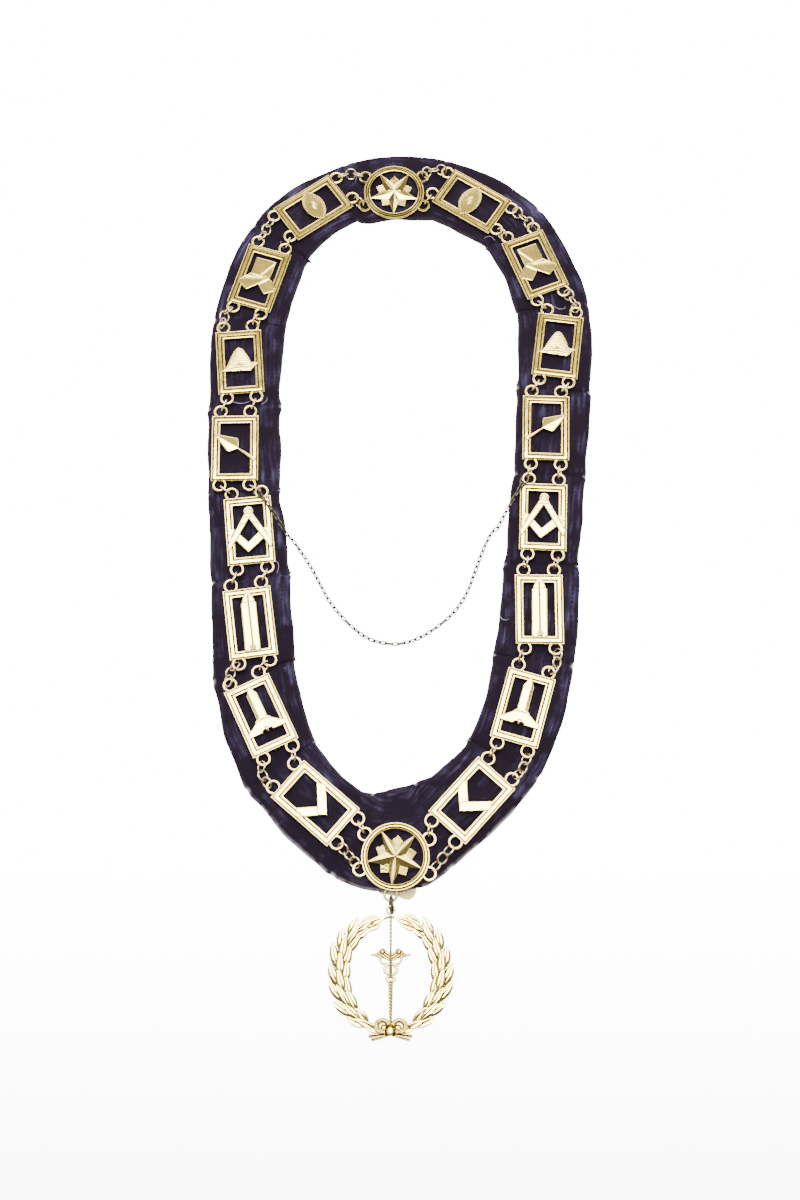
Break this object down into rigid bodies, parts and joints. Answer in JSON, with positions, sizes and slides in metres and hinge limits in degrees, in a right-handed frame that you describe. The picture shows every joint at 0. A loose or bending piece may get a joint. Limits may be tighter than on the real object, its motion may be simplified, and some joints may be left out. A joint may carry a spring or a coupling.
{
  "type": "masonic chain collar",
  "caption": "Lodge officer's chain collar: pierced gilt emblem plaques and star medallions linked over a dark velvet band, with a laurel wreath pendant.",
  "frame": {"origin": "bottom centre of the collar's box as it lies flat, on the surface that it rests on", "axes": "+Y in the collar's plane from the wreath pendant to the top medallion, +X to the right of a viewer who looks down on it with +Y up, +Z up out of the emblems' faces"},
  "size_m": [0.2364, 0.5528, 0.0107],
  "materials": {
    "gilt_brass": "polished pale gilding with darker recesses",
    "link_brass": "worn gilding, silvery on the wire",
    "velvet": "dark indigo purple crushed velvet",
    "lining_cloth": "plain cream cotton"
  },
  "bodies": {
    "root": {"velvet_band": "velvet", "lining": "lining_cloth", "medallion_top": "gilt_brass", "medallion_bottom": "gilt_brass", "plaque_eye_left": "gilt_brass", "plaque_euclid_left": "gilt_brass", "plaque_beehive_left": "gilt_brass", "plaque_trowel_left": "gilt_brass", "plaque_compasses_left": "gilt_brass", "plaque_gauge_left": "gilt_brass", "plaque_gavel_left": "gilt_brass", "plaque_square_left": "gilt_brass", "plaque_eye_right": "gilt_brass", "plaque_euclid_right": "gilt_brass", "plaque_beehive_right": "gilt_brass", "plaque_trowel_right": "gilt_brass", "plaque_compasses_right": "gilt_brass", "plaque_gauge_right": "gilt_brass", "plaque_gavel_right": "gilt_brass", "plaque_square_right": "gilt_brass", "links_left_0_inner": "link_brass", "links_left_0_outer": "link_brass", "links_left_1_inner": "link_brass", "links_left_1_outer": "link_brass", "links_left_2_inner": "link_brass", "links_left_2_outer": "link_brass", "links_left_3_inner": "link_brass", "links_left_3_outer": "link_brass", "links_left_4_inner": "link_brass", "links_left_4_outer": "link_brass", "links_left_5_inner": "link_brass", "links_left_5_outer": "link_brass", "links_left_6_inner": "link_brass", "links_left_6_outer": "link_brass", "links_left_7_inner": "link_brass", "links_left_7_outer": "link_brass", "links_left_8_inner": "link_brass", "links_left_8_outer": "link_brass", "links_right_0_inner": "link_brass", "links_right_0_outer": "link_brass", "links_right_1_inner": "link_brass", "links_right_1_outer": "link_brass", "links_right_2_inner": "link_brass", "links_right_2_outer": "link_brass", "links_right_3_inner": "link_brass", "links_right_3_outer": "link_brass", "links_right_4_inner": "link_brass", "links_right_4_outer": "link_brass", "links_right_5_inner": "link_brass", "links_right_5_outer": "link_brass", "links_right_6_inner": "link_brass", "links_right_6_outer": "link_brass", "links_right_7_inner": "link_brass", "links_right_7_outer": "link_brass", "links_right_8_inner": "link_brass", "links_right_8_outer": "link_brass", "pendant_ring": "link_brass", "wreath": "gilt_brass", "stay_chain": "link_brass"}
  },
  "joints": []
}
